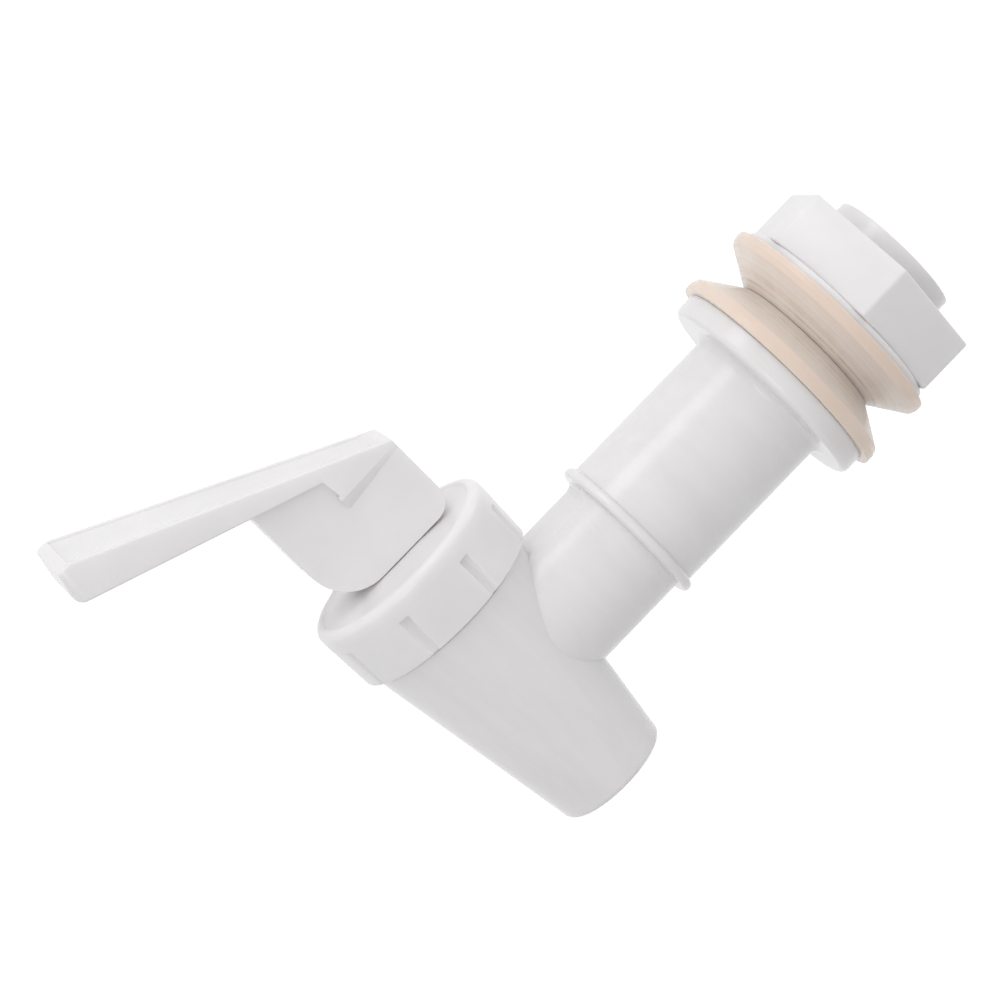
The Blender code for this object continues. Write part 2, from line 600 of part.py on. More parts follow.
def make_nut(parts, cutters, material):
    """A plain hexagon with a thin round collar on its washer side."""
    mesh = bpy.data.meshes.new("hex_nut")
    work = bmesh.new()
    middle = Matrix.Translation((0, 0, NUT_COLLAR_LENGTH + NUT_HEX_LENGTH / 2))
    turn = Matrix.Rotation(math.radians(NUT_TURN_DEGREES), 4, "Z")
    bmesh.ops.create_cone(work, cap_ends=True, segments=6, radius1=NUT_CORNER_RADIUS,
                          radius2=NUT_CORNER_RADIUS, depth=NUT_HEX_LENGTH, matrix=middle @ turn)
    work.to_mesh(mesh)
    work.free()
    place = (0, NUT_FRONT, 0)
    nut = add_object("hex_nut", mesh, parts, material, place, SHANK_AXIS_TURN)
    round_edges(nut, 0.0003, segments=1)
    overlap = NUT_COLLAR_LENGTH + NUT_HEX_LENGTH / 2
    inner = NUT_FLAT_RADIUS - 3 * GAP
    collar = [(0.0, overlap), (inner, overlap), (inner, NUT_COLLAR_LENGTH),
              (NUT_COLLAR_RADIUS, NUT_COLLAR_LENGTH), (NUT_COLLAR_RADIUS, GAP), (NUT_COLLAR_RADIUS - GAP, 0.0),
              (0.0, 0.0)]
    combine(nut, turned("nut_collar", collar, cutters, location=place, rotation=SHANK_AXIS_TURN), "UNION")
    length = NUT_COLLAR_LENGTH + NUT_HEX_LENGTH
    hole = [(0.0, length + GAP), (NUT_HOLE_RADIUS, length + GAP), (NUT_HOLE_RADIUS, -GAP), (0.0, -GAP)]
    combine(nut, turned("nut_hole", hole, cutters, location=place, rotation=SHANK_AXIS_TURN), "DIFFERENCE")


def main():
    clear_scene()
    parts = new_collection("lever_spigot")
    cutters = new_collection("cutters")
    white = make_material("white moulded plastic", (0.88, 0.87, 0.85), 0.25)
    silicone = make_material("clear silicone rubber", (0.80, 0.70, 0.63), 0.35, transmission=0.5)
    steel = make_material("spring steel", (0.60, 0.60, 0.60), 0.3, metallic=1.0)
    make_body(parts, cutters, white)
    make_bonnet(parts, cutters, white.copy())
    make_seat_cup(parts, silicone)
    make_stem(parts, cutters, white.copy())
    make_spring(parts, steel)
    make_lever(parts, cutters, white.copy())
    make_washers(parts, silicone.copy())
    make_nut(parts, cutters, white.copy())


main()
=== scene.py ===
# The lever spigot's looks: white moulded plastic, translucent silicone, a steel spring inside.
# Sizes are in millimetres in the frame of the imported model. The origin is on the shank's axis,
# on the rear face of the flange; -Y is the front with the spout, +Z runs up along the stem.
import math

import bmesh
import bpy
from mathutils import Matrix, Vector


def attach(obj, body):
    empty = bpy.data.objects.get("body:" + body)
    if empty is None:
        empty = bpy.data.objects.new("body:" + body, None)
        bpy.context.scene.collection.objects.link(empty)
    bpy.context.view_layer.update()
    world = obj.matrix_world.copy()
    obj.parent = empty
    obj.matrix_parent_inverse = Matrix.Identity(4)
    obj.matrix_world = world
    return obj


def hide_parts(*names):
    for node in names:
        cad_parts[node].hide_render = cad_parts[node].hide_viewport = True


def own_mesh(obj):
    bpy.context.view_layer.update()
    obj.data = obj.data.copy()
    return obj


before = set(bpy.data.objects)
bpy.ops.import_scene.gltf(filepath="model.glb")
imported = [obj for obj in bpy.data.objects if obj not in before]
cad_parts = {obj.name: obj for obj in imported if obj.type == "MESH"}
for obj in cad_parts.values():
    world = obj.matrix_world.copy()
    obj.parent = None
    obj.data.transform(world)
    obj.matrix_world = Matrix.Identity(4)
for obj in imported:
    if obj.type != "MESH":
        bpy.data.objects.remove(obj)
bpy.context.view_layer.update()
print("stage: frame loaded")

mm = 0.001
spoutY = -49.8
pinHeight = 26.3  # the lever turns on the stem's cross bar here
over = 0.1  # how far a cutter runs past the face it opens
weld = 0.000002  # vertices closer than this, in metres, become one
tiny = 1e-4  # a radius or a bend below this is none


def linear(hexCode):
    # a colour as it is seen, turned into the light that makes it
    parts = [int(hexCode[i:i + 2], 16) / 255 for i in (1, 3, 5)]
    parts = [p / 12.92 if p <= 0.04045 else ((p + 0.055) / 1.055) ** 2.4 for p in parts]
    return (*parts, 1.0)


def addNode(tree, kind, settings=None, links=None):
    # a key is a property's name, or an input's name or number
    node = tree.nodes.new(kind)
    for key, value in (settings or {}).items():
        if isinstance(key, int) or key in node.inputs:
            node.inputs[key].default_value = value
        else:
            setattr(node, key, value)
    for key, source in (links or {}).items():
        tree.links.new(source, node.inputs[key])
    return node


def roundedPath(corners, closed=False, arcStep=15, arcCount=0):
    # each corner is (a, b) or (a, b, rounding); a rounding becomes a short arc
    points = []
    for index, corner in enumerate(corners):
        here = Vector(corner[:2])
        ends = not closed and index in (0, len(corners) - 1)
        if len(corner) < 3 or ends:
            points.append(tuple(here))
            continue
        before = Vector(corners[index - 1][:2]) - here
        after = Vector(corners[(index + 1) % len(corners)][:2]) - here
        before.normalize()
        after.normalize()
        if (before + after).length < tiny:
            points += [tuple(here)] * (arcCount + 1)
            continue
        half = before.angle(after) / 2
        centre = here + (before + after).normalized() * corner[2] / math.sin(half)
        first = here + before * corner[2] / math.tan(half) - centre
        last = here + after * corner[2] / math.tan(half) - centre
        sweep = last.angle_signed(first)
        count = arcCount or max(2, math.ceil(abs(math.degrees(sweep)) / arcStep))
        for step in range(count + 1):
            turn = Matrix.Rotation(sweep * step / count, 2)
            points.append(tuple(centre + turn @ first))
    return points


def meshObject(name, verts, faces):
    mesh = bpy.data.meshes.new(name)
    mesh.from_pydata([Vector(v) * mm for v in verts], [], faces)
    work = bmesh.new()
    work.from_mesh(mesh)
    bmesh.ops.remove_doubles(work, verts=work.verts, dist=weld)
    bmesh.ops.recalc_face_normals(work, faces=work.faces)
    work.to_mesh(mesh)
    work.free()
    piece = bpy.data.objects.new(name, mesh)
    bpy.context.scene.collection.objects.link(piece)
    return piece


def turned(name, profile, steps=160, axis="Z", at=(0, 0, 0), closed=False):
    # profile of (radius, height); axis Z is the spout's way, axis Y the shank's
    verts, rows = [], []
    for radius, height in profile:
        around = steps if radius > tiny else 1
        rows.append((len(verts), around))
        for step in range(around):
            angle = 2 * math.pi * step / steps
            a, b = radius * math.sin(angle), radius * math.cos(angle)
            local = (a, b, height) if axis == "Z" else (a, height, b)
            verts.append(tuple(p + q for p, q in zip(local, at)))
    pairs = list(zip(rows, rows[1:]))
    if closed:
        pairs.append((rows[-1], rows[0]))
    faces = []
    for (low, lowCount), (high, highCount) in pairs:
        for step in range(steps):
            after = (step + 1) % steps
            ring = [low + step % lowCount, low + after % lowCount,
                    high + after % highCount, high + step % highCount]
            faces.append(list(dict.fromkeys(ring)))
    return meshObject(name, verts, [face for face in faces if len(face) > 2])


def plate(name, outline, halfWidth, bevel=0.0):
    # an outline of (y, z) given a thickness along X
    count = len(outline)
    verts = [(side * halfWidth, y, z) for side in (-1, 1) for y, z in outline]
    faces = [list(range(count)), list(range(count, 2 * count))]
    faces += [[i, (i + 1) % count, count + (i + 1) % count, count + i] for i in range(count)]
    piece = meshObject(name, verts, faces)
    if bevel:
        roundEdges(piece, bevel)
    return piece


def applied(piece):
    # the evaluated shape takes the place of the mesh, and the modifiers go
    bpy.context.view_layer.update()
    depsgraph = bpy.context.evaluated_depsgraph_get()
    mesh = bpy.data.meshes.new_from_object(piece.evaluated_get(depsgraph))
    piece.modifiers.clear()
    piece.data = mesh
    return piece


def roundEdges(piece, width, segments=3, angle=40):
    bevel = piece.modifiers.new("rounded", "BEVEL")
    bevel.width = width * mm
    bevel.segments = segments
    bevel.angle_limit = math.radians(angle)
    bevel.miter_outer = "MITER_ARC"
    return applied(piece)


def combine(base, tools, operation):
    for tool in tools:
        step = base.modifiers.new(tool.name, "BOOLEAN")
        step.operation = operation
        step.solver = "EXACT"
        step.object = tool
        applied(base)
        bpy.data.objects.remove(tool, do_unlink=True)


def finished(piece, body, material, nodes=(), sharp=32):
    # smooth shading up to an angle, then its finish, its CAD body and the nodes it stands for
    mesh = piece.data
    mesh.polygons.foreach_set("use_smooth", [True] * len(mesh.polygons))
    mesh.set_sharp_from_angle(angle=math.radians(sharp))
    mesh.materials.clear()
    mesh.materials.append(material)
    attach(piece, body)
    if nodes:
        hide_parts(*nodes)
    return piece


def newMaterial(name):
    material = bpy.data.materials.new(name)
    material.use_nodes = True
    return material, material.node_tree, material.node_tree.nodes["Principled BSDF"]


plastic = {
    "colour": "#EAE8E9",
    "shade": "#E5E3E4",
    "shadeFrom": 0.3,
    "shadeTo": 0.7,
    "roughness": 0.3,
    "glossier": 0.04,
    "duller": 0.05,
    "ior": 1.49,
    "cloudSize": 9.0,
    "cloudDetail": 3.0,
    "cloudRough": 0.6,
    "flow": (1.0, 1.0, 1.0),
    "grainSize": 0.35,
    "grainDetail": 2.0,
    "grainDepth": 0.006,
    "grainShare": 0.3,
    "soft": 0.35,
    "softDepth": 1.2,
    "softTint": (1.0, 0.9, 0.85),
}


def makePlastic(name, values):
    # white polypropylene, injection moulded: soft gloss, a little light inside its surface,
    # faint clouds where it flowed into the mould and a fine grain from the tool
    material, tree, shader = newMaterial(name)
    place = addNode(tree, "ShaderNodeTexCoord")
    stretch = addNode(tree, "ShaderNodeMapping", {"Scale": values["flow"]},
                      {"Vector": place.outputs["Object"]})
    cloud = addNode(tree, "ShaderNodeTexNoise",
                    {"Scale": 1 / (values["cloudSize"] * mm), "Detail": values["cloudDetail"],
                     "Roughness": values["cloudRough"]},
                    {"Vector": stretch.outputs["Vector"]})
    spread = addNode(tree, "ShaderNodeMapRange",
                     {"From Min": values["shadeFrom"], "From Max": values["shadeTo"]},
                     {"Value": cloud.outputs["Fac"]})
    tint = addNode(tree, "ShaderNodeMix",
                   {"data_type": "RGBA", 6: linear(values["colour"]), 7: linear(values["shade"])},
                   {0: spread.outputs["Result"]})
    gloss = addNode(tree, "ShaderNodeMapRange",
                    {"To Min": values["roughness"] - values["glossier"],
                     "To Max": values["roughness"] + values["duller"]},
                    {"Value": cloud.outputs["Fac"]})
    grain = addNode(tree, "ShaderNodeTexNoise",
                    {"Scale": 1 / (values["grainSize"] * mm), "Detail": values["grainDetail"]},
                    {"Vector": place.outputs["Object"]})
    bump = addNode(tree, "ShaderNodeBump",
                   {"Strength": values["grainShare"], "Distance": values["grainDepth"] * mm},
                   {"Height": grain.outputs["Fac"]})
    tree.links.new(tint.outputs[2], shader.inputs["Base Color"])
    tree.links.new(gloss.outputs["Result"], shader.inputs["Roughness"])
    tree.links.new(bump.outputs["Normal"], shader.inputs["Normal"])
    shader.inputs["IOR"].default_value = values["ior"]
    shader.inputs["Subsurface Weight"].default_value = values["soft"]
    shader.inputs["Subsurface Radius"].default_value = values["softTint"]
    shader.inputs["Subsurface Scale"].default_value = values["softDepth"] * mm
    return material


# the body came from a polished mould and is glossier, with faint lengthwise flow streaks
bodyPlastic = makePlastic("moulded polypropylene, body", {
    **plastic, "colour": "#E7E5E6", "shade": "#E2E0E1", "roughness": 0.2, "cloudSize": 3.0,
    "flow": (1.0, 1.0, 0.12), "grainDepth": 0.003})
bonnetPlastic = makePlastic("moulded polypropylene, bonnet", {**plastic, "soft": 0.7, "softDepth": 2.0})
leverPlastic = makePlastic("moulded polypropylene, lever", {**plastic, "roughness": 0.24})
nutPlastic = makePlastic("moulded polypropylene, nut", plastic)

rubber = {
    "colour": "#F6ECE4",
    "deep": "#E8DBD0",
    "deepFrom": 0.5,
    "deepTo": 0.9,
    "rim": "#F1DFD2",
    "rimStart": 14.8,
    "rimEnd": 15.7,
    # painted shade: the colour, radii and range of the darker rings that stand in for the shaded thread under
    # the silicone
    "inside": "#BCAFA4",
    "shadeInnerR": 11.0,
    "shadeOuterR": 13.6,
    "roughness": 0.25,
    "ior": 1.41,
    "cover": 0.84,
    "cloudSize": 3.0,
    "cloudDetail": 4.0,
    "cloudRough": 0.6,
    "cloudShare": 0.35,
    "patchFrom": 0.4,
    "patchTo": 0.6,
    "ringSize": 0.9,
    "ringDetail": 3.0,
    "ringRough": 0.65,
    "threadShadeFrom": 0.5,
    "threadShadeTo": 0.68,
    "lineDepth": 0.015,
    "lineShare": 0.5,
    "soft": 0.6,
    "softDepth": 0.9,
    "softTint": (1.0, 0.75, 0.55),
}


def makeSilicone(name, values):
    # silicone rubber, press moulded and cured: clear but milky, warm where it is thick, a waxy gloss
    material, tree, shader = newMaterial(name)
    place = addNode(tree, "ShaderNodeTexCoord")
    cloud = addNode(tree, "ShaderNodeTexNoise",
                    {"Scale": 1 / (values["cloudSize"] * mm), "Detail": values["cloudDetail"],
                     "Roughness": values["cloudRough"]},
                    {"Vector": place.outputs["Object"]})
    # rings that run round the shank's axis: their place is the distance from it and the way along it
    parts = addNode(tree, "ShaderNodeSeparateXYZ", None, {0: place.outputs["Object"]})
    across = addNode(tree, "ShaderNodeCombineXYZ", None, {"X": parts.outputs["X"], "Y": parts.outputs["Z"]})
    outward = addNode(tree, "ShaderNodeVectorMath", {"operation": "LENGTH"}, {0: across.outputs[0]})
    section = addNode(tree, "ShaderNodeCombineXYZ", None,
                      {"X": outward.outputs["Value"], "Y": parts.outputs["Y"]})
    rings = addNode(tree, "ShaderNodeTexNoise",
                    {"Scale": 1 / (values["ringSize"] * mm), "Detail": values["ringDetail"],
                     "Roughness": values["ringRough"]},
                    {"Vector": section.outputs[0]})
    mixed = addNode(tree, "ShaderNodeMath", {"operation": "MULTIPLY_ADD", 1: values["cloudShare"]},
                    {0: cloud.outputs["Fac"], 2: rings.outputs["Fac"]})
    spread = addNode(tree, "ShaderNodeMapRange",
                     {"From Min": values["deepFrom"], "From Max": values["deepTo"]},
                     {"Value": mixed.outputs[0]})
    skin = addNode(tree, "ShaderNodeMix",
                   {"data_type": "RGBA", 6: linear(values["colour"]), 7: linear(values["deep"])},
                   {0: spread.outputs["Result"]})
    # the rim is thicker, and warmer for it
    outside = addNode(tree, "ShaderNodeMapRange",
                      {"interpolation_type": "SMOOTHSTEP", "From Min": values["rimStart"] * mm,
                       "From Max": values["rimEnd"] * mm},
                      {"Value": outward.outputs["Value"]})
    warm = addNode(tree, "ShaderNodeMix", {"data_type": "RGBA", 7: linear(values["rim"])},
                   {0: outside.outputs["Result"], 6: skin.outputs[2]})
    # painted shade: close to the shank, the thread's shade seen through the silicone is painted in patches of
    # darker rings
    near = addNode(tree, "ShaderNodeMapRange",
                   {"interpolation_type": "SMOOTHSTEP", "From Min": values["shadeOuterR"] * mm,
                    "From Max": values["shadeInnerR"] * mm},
                   {"Value": outward.outputs["Value"]})
    threadShadeRings = addNode(tree, "ShaderNodeMapRange",
                   {"From Min": values["threadShadeFrom"], "From Max": values["threadShadeTo"]},
                   {"Value": rings.outputs["Fac"]})
    patches = addNode(tree, "ShaderNodeMapRange",
                      {"From Min": values["patchFrom"], "From Max": values["patchTo"]},
                      {"Value": cloud.outputs["Fac"]})
    both = addNode(tree, "ShaderNodeMath", {"operation": "MULTIPLY"},
                   {0: threadShadeRings.outputs["Result"], 1: near.outputs["Result"]})
    share = addNode(tree, "ShaderNodeMath", {"operation": "MULTIPLY"},
                    {0: both.outputs[0], 1: patches.outputs["Result"]})
    # the painted shade is mixed in over the skin near the shank
    tint = addNode(tree, "ShaderNodeMix", {"data_type": "RGBA", 7: linear(values["inside"])},
                   {0: share.outputs[0], 6: warm.outputs[2]})
    bump = addNode(tree, "ShaderNodeBump",
                   {"Strength": values["lineShare"], "Distance": values["lineDepth"] * mm},
                   {"Height": mixed.outputs[0]})
    tree.links.new(tint.outputs[2], shader.inputs["Base Color"])
    tree.links.new(bump.outputs["Normal"], shader.inputs["Normal"])
    shader.inputs["Roughness"].default_value = values["roughness"]
    shader.inputs["IOR"].default_value = values["ior"]
    shader.inputs["Alpha"].default_value = values["cover"]  # the shank's thread shows through
    shader.inputs["Subsurface Weight"].default_value = values["soft"]
    shader.inputs["Subsurface Radius"].default_value = values["softTint"]
    shader.inputs["Subsurface Scale"].default_value = values["softDepth"] * mm
    return material


washerSilicone = makeSilicone("press-moulded silicone, washers", rubber)
cupSilicone = makeSilicone("press-moulded silicone, seat cup",
                           {**rubber, "colour": "#E4D9CE", "deep": "#CDBFB0", "cover": 1.0})

wire = {"colour": "#C9C8C4", "lineSize": 0.2, "lineDetail": 2.0, "glossFrom": 0.22, "glossTo": 0.38}


def makeWire(name, values):
    # drawn stainless spring wire: bright, with fine drawing lines
    material, tree, shader = newMaterial(name)
    place = addNode(tree, "ShaderNodeTexCoord")
    lines = addNode(tree, "ShaderNodeTexNoise",
                    {"Scale": 1 / (values["lineSize"] * mm), "Detail": values["lineDetail"]},
                    {"Vector": place.outputs["Object"]})
    gloss = addNode(tree, "ShaderNodeMapRange", {"To Min": values["glossFrom"], "To Max": values["glossTo"]},
                    {"Value": lines.outputs["Fac"]})
    tree.links.new(gloss.outputs["Result"], shader.inputs["Roughness"])
    shader.inputs["Base Color"].default_value = linear(values["colour"])
    shader.inputs["Metallic"].default_value = 1.0
    return material


springWire = makeWire("drawn stainless wire", wire)
print("stage: materials")

# the body is one moulding: spout, neck, shank, flange and tail
spout = {
    "shoulderR": 12.45, "shoulderZ": 9.9, "shoulderRound": 0.25, "tipR": 7.9, "tipZ": -20.9, "tipRound": 1.0,
    "collarR": 11.4, "collarZ": 13.9, "collarRound": 0.3, "chamberR": 8.2, "floorZ": -7.5, "lip": 0.7,
    "lipWide": 0.9, "throatR": 4.6, "mouthR": 5.4, "cutTop": 24.0, "cutFoot": -24.0,
}
shank = {
    "neckR": 9.2, "flatZ": 7.8, "runout": 1.2, "beadY": -26.8, "beadR": 10.7, "beadWide": 1.4,
    "beadRound": 0.6, "beadFoot": 0.15, "tubeR": 9.9, "flangeR": 14.65, "flangeThick": 3.0,
    "flangeRound": 0.9, "rearRound": 0.05, "fillet": 1.1, "coreR": 9.0, "tailY": 21.75, "tailRound": 0.22,
    "boreR": 5.6, "boreEnd": 26.0, "flatPast": 1.0, "flatTop": 14.0, "flatHalf": 12.0,
}
mouth = {"wider": 0.5, "deep": 0.4}  # the chamfer at the mouth of both bores


def makeBody():
    s, k, m = spout, shank, mouth
    spoutAt = (0, spoutY, 0)
    cone = turned("cone", roundedPath([
        (0, s["collarZ"]), (s["collarR"], s["collarZ"], s["collarRound"]), (s["collarR"], s["shoulderZ"]),
        (s["shoulderR"], s["shoulderZ"], s["shoulderRound"]), (s["tipR"], s["tipZ"], s["tipRound"]),
        (0, s["tipZ"])]), at=spoutAt)
    back, front = k["beadY"] + k["beadWide"] / 2, k["beadY"] - k["beadWide"] / 2
    tube = turned("tube", roundedPath([
        (0, k["tailY"]), (k["coreR"], k["tailY"], k["tailRound"]), (k["coreR"], 0.0),
        (k["flangeR"], 0.0, k["rearRound"]), (k["flangeR"], -k["flangeThick"], k["flangeRound"]),
        (k["tubeR"], -k["flangeThick"], k["fillet"]), (k["tubeR"], back, k["beadFoot"]),
        (k["beadR"], back, k["beadRound"]), (k["beadR"], front, k["beadRound"]),
        (k["neckR"], front, k["beadFoot"]), (k["neckR"], spoutY), (0, spoutY)]), axis="Y")
    start, end = spoutY - k["flatPast"], front - k["beadFoot"]
    flat = plate("flat", roundedPath([
        (start, k["flatTop"]), (start, k["flatZ"]), (end, k["flatZ"], k["runout"]), (end, k["flatTop"])],
        closed=True), k["flatHalf"])
    combine(tube, [flat], "DIFFERENCE")
    combine(cone, [tube], "UNION")
    lipR, lipZ = s["throatR"] + s["lipWide"], s["floorZ"] + s["lip"]
    chamber = turned("chamber", [
        (0, s["cutTop"]), (s["chamberR"], s["cutTop"]), (s["chamberR"], s["floorZ"]), (lipR, s["floorZ"]),
        (lipR, lipZ), (s["throatR"], lipZ), (s["mouthR"], s["tipZ"] + m["deep"]),
        (s["mouthR"] + m["wider"], s["tipZ"] - over), (s["mouthR"] + m["wider"], s["cutFoot"]),
        (0, s["cutFoot"])], steps=96, at=spoutAt)
    bore = turned("bore", [
        (0, k["boreEnd"]), (k["boreR"] + m["wider"], k["boreEnd"]),
        (k["boreR"] + m["wider"], k["tailY"] + over), (k["boreR"], k["tailY"] - m["deep"]),
        (k["boreR"], spoutY), (0, spoutY)], steps=96, axis="Y")
    combine(cone, [chamber, bore], "DIFFERENCE")
    cone.name = "spigotBody"
    return finished(cone, "spigot", bodyPlastic, ["spigot_body"])


makeBody()
print("stage: body")

# the bonnet is a screwed cap with a nearly flat top and grip grooves round its skirt
bonnet = {
    "topR": 13.85, "topZ": 19.32, "topRound": 1.15, "skirtR": 13.83, "footR": 13.55, "footZ": 10.2,
    "footRound": 0.2, "bandZ": 17.1, "bandStep": 0.12, "bandRound": 0.1, "crestR": 12.55, "crestRound": 0.05,
    "dishR": 12.2, "dishZ": 19.1, "dishRound": 0.1, "bossR": 6.2, "bossZ": 19.7, "bossRound": 3.0,
    "holeR": 2.6, "holeRound": 0.2, "threadR": 11.7, "ceilingZ": 15.7, "pocketR": 4.7, "pocketZ": 16.6,
}
grip = {"count": 8, "wide": 1.6, "deep": 0.55, "topZ": 16.15, "footZ": 9.4, "sides": 48}


def gripTree():
    # rods round a ring, one for each groove, made by nodes and used as the cutter
    tree = bpy.data.node_groups.new("grip grooves", "GeometryNodeTree")
    for label, kind in (("Count", "NodeSocketInt"), ("Ring Radius", "NodeSocketFloat"),
                        ("Rod Radius", "NodeSocketFloat"), ("Rod Length", "NodeSocketFloat"),
                        ("Middle", "NodeSocketVector"), ("Material", "NodeSocketMaterial")):
        tree.interface.new_socket(label, in_out="INPUT", socket_type=kind)
    tree.interface.new_socket("Geometry", in_out="OUTPUT", socket_type="NodeSocketGeometry")
    given = addNode(tree, "NodeGroupInput")
    ring = addNode(tree, "GeometryNodeMeshCircle", None,
                   {"Vertices": given.outputs["Count"], "Radius": given.outputs["Ring Radius"]})
    rod = addNode(tree, "GeometryNodeMeshCylinder", {"Vertices": grip["sides"]},
                  {"Radius": given.outputs["Rod Radius"], "Depth": given.outputs["Rod Length"]})
    copies = addNode(tree, "GeometryNodeInstanceOnPoints", None,
                     {"Points": ring.outputs["Mesh"], "Instance": rod.outputs["Mesh"]})
    placed = addNode(tree, "GeometryNodeTransform", {"Rotation": (0, 0, math.pi / grip["count"])},
                     {"Geometry": copies.outputs["Instances"], "Translation": given.outputs["Middle"]})
    real = addNode(tree, "GeometryNodeRealizeInstances", None, {"Geometry": placed.outputs["Geometry"]})
    painted = addNode(tree, "GeometryNodeSetMaterial", None,
                      {"Geometry": real.outputs["Geometry"], "Material": given.outputs["Material"]})
    addNode(tree, "NodeGroupOutput", None, {"Geometry": painted.outputs["Geometry"]})
    return tree


def byNodes(name, tree, values):
    # a mesh made by a node tree; each input is set by its socket's identifier
    piece = bpy.data.objects.new(name, bpy.data.meshes.new(name))
    bpy.context.scene.collection.objects.link(piece)
    modifier = piece.modifiers.new(name, "NODES")
    modifier.node_group = tree
    for item in tree.interface.items_tree:
        if item.in_out == "INPUT" and item.name in values:
            modifier[item.identifier] = values[item.name]
    return applied(piece)


def makeBonnet():
    b, g = bonnet, grip
    shell = turned("bonnetShell", roundedPath([
        (b["holeR"], b["bossZ"], b["holeRound"]), (b["bossR"], b["bossZ"], b["bossRound"]),
        (b["dishR"], b["dishZ"], b["dishRound"]), (b["crestR"], b["topZ"], b["crestRound"]),
        (b["topR"], b["topZ"], b["topRound"]), (b["topR"], b["bandZ"], b["bandRound"]),
        (b["skirtR"], b["bandZ"] - b["bandStep"], b["bandRound"]), (b["footR"], b["footZ"], b["footRound"]),
        (b["threadR"], b["footZ"], b["footRound"]), (b["threadR"], b["ceilingZ"]),
        (b["pocketR"], b["ceilingZ"]), (b["pocketR"], b["pocketZ"]), (b["holeR"], b["pocketZ"])],
        closed=True), steps=192, at=(0, spoutY, 0), closed=True)
    # a rod of this radius cuts a groove of the named width and depth
    rodR = (g["wide"] ** 2 / 4 + g["deep"] ** 2) / (2 * g["deep"])
    length = g["topZ"] - g["footZ"]
    rods = byNodes("gripRods", gripTree(), {
        "Count": g["count"], "Ring Radius": ((b["skirtR"] + b["footR"]) / 2 - g["deep"] + rodR) * mm,
        "Rod Radius": rodR * mm, "Rod Length": length * mm,
        "Middle": (0, spoutY * mm, (g["footZ"] + length / 2) * mm), "Material": bonnetPlastic})
    combine(shell, [rods], "DIFFERENCE")
    shell.name = "bonnetCap"
    return finished(shell, "spigot", bonnetPlastic, ["bonnet"])


makeBonnet()
print("stage: bonnet")

# the lever is measured from its pin: a lofted paddle, two ears and the block with its cam
lever = {
    "tipY": -31.3, "rearY": 9.75, "tipHalf": 10.0, "rearHalf": 5.3, "tipTop": 23.9, "tipBottom": 19.3,
    "rearTop": 4.9, "land": 1.9, "lean": 0.7, "leanLong": 3.0, "planRound": 1.3, "footRound": 0.9,
    "topRound": 0.45, "rim": 0.85, "rimDrop": 0.3, "rimSlope": 0.1, "sag": 0.75, "edge": 0.35,
    "innerEdge": 0.28, "underEdge": 0.35, "fold": 0.4, "foldClear": 0.5, "fade": 3.0,
    "landStep": 0.02, "tipCuts": (0.0, 0.06, 0.16, 0.3, 0.5, 0.75, 1.0, 1.3), "longCuts": 24, "fadeCuts": 9,
    "floorCuts": 14,
}
ear = {
    "topZ": 7.4, "foldZ": 4.2, "frontZ": 2.55, "rearZ": 3.7, "start": 0.3, "noseUp": 0.25, "noseIn": 0.12,
    "gap": 0.02, "footRound": 0.1, "foldRound": 0.3, "sunk": 0.6, "rearIn": 0.03,
    "cuts": (0.0, 0.3, 1.5, 3.0, 4.5, 6.0, 7.5, 8.8),
}
block = {
    "half": 5.3, "front": 9.2, "base": 6.5, "camR": 6.3, "heelR": 2.9, "webRound": 1.3, "webLong": 2.6,
    "webSunk": 0.3, "rearRound": 0.3, "bevel": 0.16, "slotHalf": 2.5, "slotTop": 2.8, "slotTilt": 37,
    "cutFoot": -9.0, "pocketHalf": 4.3, "pocketR": 1.8, "entryHalf": 1.25,
}


def paddleHalf(y):
    v = lever
    share = (v["rearY"] - y) / (v["rearY"] - v["tipY"])
    return v["rearHalf"] + (v["tipHalf"] - v["rearHalf"]) * share


def pulledIn(r, t):
    # how far a rounding of radius r draws its edge in at the distance t from the tip
    return r - math.sqrt(max(0.0, r * r - max(0.0, r - t) ** 2)) if t < r else 0.0


def paddleSection(y, t, depth):
    # half of a cross-section at y, from the middle of the underside round to the middle of the floor;
    # t is the distance from the tip and depth the share of the dish
    v = lever
    landY = v["tipY"] + v["lean"] + v["land"]
    slope = (v["tipTop"] - v["rearTop"]) / (v["rearY"] - landY)
    top = min(v["tipTop"], v["rearTop"] + slope * (v["rearY"] - y))
    underSlope = (v["tipBottom"] - ear["topZ"]) / -v["tipY"]
    if y < 0:
        bottom = ear["topZ"] - underSlope * y
    else:
        bottom = ear["topZ"] - (ear["topZ"] - ear["foldZ"]) * min(1, y / v["fold"])
    half = paddleHalf(y) - pulledIn(v["planRound"], t)
    bottom += pulledIn(v["footRound"], t)
    top -= pulledIn(v["topRound"], t)
    inner = half - v["rim"]
    floor = top - v["rimDrop"] * depth
    section = roundedPath([
        (0, bottom), (half, bottom, v["underEdge"]), (half, top, v["edge"]), (inner, top, v["innerEdge"]),
        (inner - v["rimSlope"], floor)], arcCount=5)
    for step in range(1, v["floorCuts"] + 1):
        share = 1 - step / v["floorCuts"]
        section.append(((inner - v["rimSlope"]) * share, floor - v["sag"] * depth * (1 - share * share)))
    return [(x, y, z) for x, z in section]


def bothSides(half):
    return half + [(-x, y, z) for x, y, z in reversed(half[1:-1])]


def lofted(name, loops):
    # loops with the same number of points, joined in a row and closed at both ends
    verts, rows = [], []
    for loop in loops:
        rows.append(range(len(verts), len(verts) + len(loop)))
        verts += loop
    faces = [list(rows[0]), list(rows[-1])]
    for near, far in zip(rows, rows[1:]):
        count = len(near)
        faces += [[near[i], near[(i + 1) % count], far[(i + 1) % count], far[i]] for i in range(count)]
    return meshObject(name, verts, faces)


